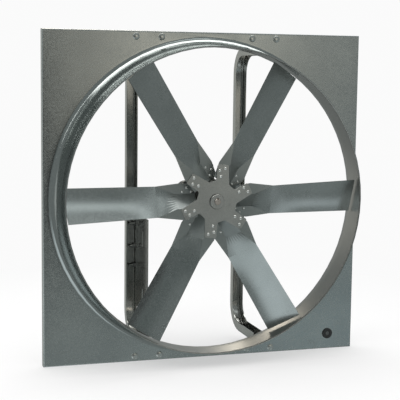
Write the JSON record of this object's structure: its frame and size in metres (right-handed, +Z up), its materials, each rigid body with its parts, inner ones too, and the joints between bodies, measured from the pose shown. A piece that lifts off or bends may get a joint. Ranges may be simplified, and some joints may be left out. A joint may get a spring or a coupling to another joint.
{
  "type": "belt-drive wall exhaust fan",
  "caption": "Square galvanised wall fan panel with a drawn throat, a riveted six-blade propeller on a shaft in two pillow blocks, channel struts and a slotted motor plate.",
  "frame": {"origin": "centre of the overall box, on the shaft's axis, 77 mm behind the panel's front face", "axes": "+X to the right seen from the discharge side, +Y towards the drive side along the shaft, +Z up; air leaves towards -Y"},
  "size_m": [1.022, 0.426, 1.022],
  "materials": {
    "galvanised_sheet": "bright hot-dip galvanised sheet with a visible spangle",
    "galvanised_frame": "galvanised strip, rolled and bent, slightly duller than the panel",
    "galvanised_blade": "galvanised blade sheet with a fine spangle and light scuffs",
    "galvanised_plug": "punched galvanised disc",
    "spider_steel": "plated steel plate, dull",
    "zinc_fastener": "bright zinc plating",
    "ground_steel": "ground cold-rolled steel bar",
    "bearing_steel": "polished bearing steel",
    "cast_iron": "as-cast iron, machined at the faces",
    "black_rubber": "matt black rubber"
  },
  "bodies": {
    "fan_frame": {"venturi_panel": "galvanised_sheet", "knockout_plug": "galvanised_plug", "wiring_grommet": "black_rubber", "left_strut": "galvanised_frame", "right_strut": "galvanised_frame", "left_strut_top_foot": "galvanised_frame", "left_strut_bottom_foot": "galvanised_frame", "right_strut_top_foot": "galvanised_frame", "right_strut_bottom_foot": "galvanised_frame", "bearing_shelf": "galvanised_frame", "panel_bolt_1": "zinc_fastener", "panel_bolt_2": "zinc_fastener", "panel_bolt_3": "zinc_fastener", "panel_bolt_4": "zinc_fastener", "panel_bolt_5": "zinc_fastener", "panel_bolt_6": "zinc_fastener", "panel_bolt_7": "zinc_fastener", "panel_bolt_8": "zinc_fastener", "panel_nut_1": "zinc_fastener", "panel_nut_2": "zinc_fastener", "panel_nut_3": "zinc_fastener", "panel_nut_4": "zinc_fastener", "panel_nut_5": "zinc_fastener", "panel_nut_6": "zinc_fastener", "panel_nut_7": "zinc_fastener", "panel_nut_8": "zinc_fastener", "shelf_bolt_1": "zinc_fastener", "shelf_bolt_2": "zinc_fastener", "shelf_bolt_3": "zinc_fastener", "shelf_bolt_4": "zinc_fastener", "front_bearing_bolt_left": "zinc_fastener", "front_bearing_bolt_right": "zinc_fastener", "rear_bearing_bolt_left": "zinc_fastener", "rear_bearing_bolt_right": "zinc_fastener", "front_bearing_housing": "cast_iron", "rear_bearing_housing": "cast_iron", "front_bearing_outer_race": "bearing_steel", "rear_bearing_outer_race": "bearing_steel"},
    "propeller": {"shaft": "ground_steel", "shaft_key": "ground_steel", "hub": "cast_iron", "hub_set_screw_1": "zinc_fastener", "hub_set_screw_2": "zinc_fastener", "front_spider": "spider_steel", "rear_spider": "spider_steel", "blade_1": "galvanised_blade", "blade_2": "galvanised_blade", "blade_3": "galvanised_blade", "blade_4": "galvanised_blade", "blade_5": "galvanised_blade", "blade_6": "galvanised_blade", "front_bearing_inner_ring": "bearing_steel", "rear_bearing_inner_ring": "bearing_steel"},
    "motor_carrier": {"motor_plate": "galvanised_frame", "motor_plate_bolt_1": "zinc_fastener", "motor_plate_bolt_2": "zinc_fastener", "motor_plate_bolt_3": "zinc_fastener", "motor_plate_nut_1": "zinc_fastener", "motor_plate_nut_2": "zinc_fastener", "motor_plate_nut_3": "zinc_fastener"}
  },
  "joints": [
    {"name": "propeller_spin", "type": "hinge", "parent": "fan_frame", "child": "propeller", "pos_m": [0, 0, 0], "axis": [0, 1, 0], "continuous": true},
    {"name": "motor_plate_slide", "type": "slide", "parent": "fan_frame", "child": "motor_carrier", "axis": [0, 0, 1], "range_m": [-0.02, 0.02]}
  ]
}
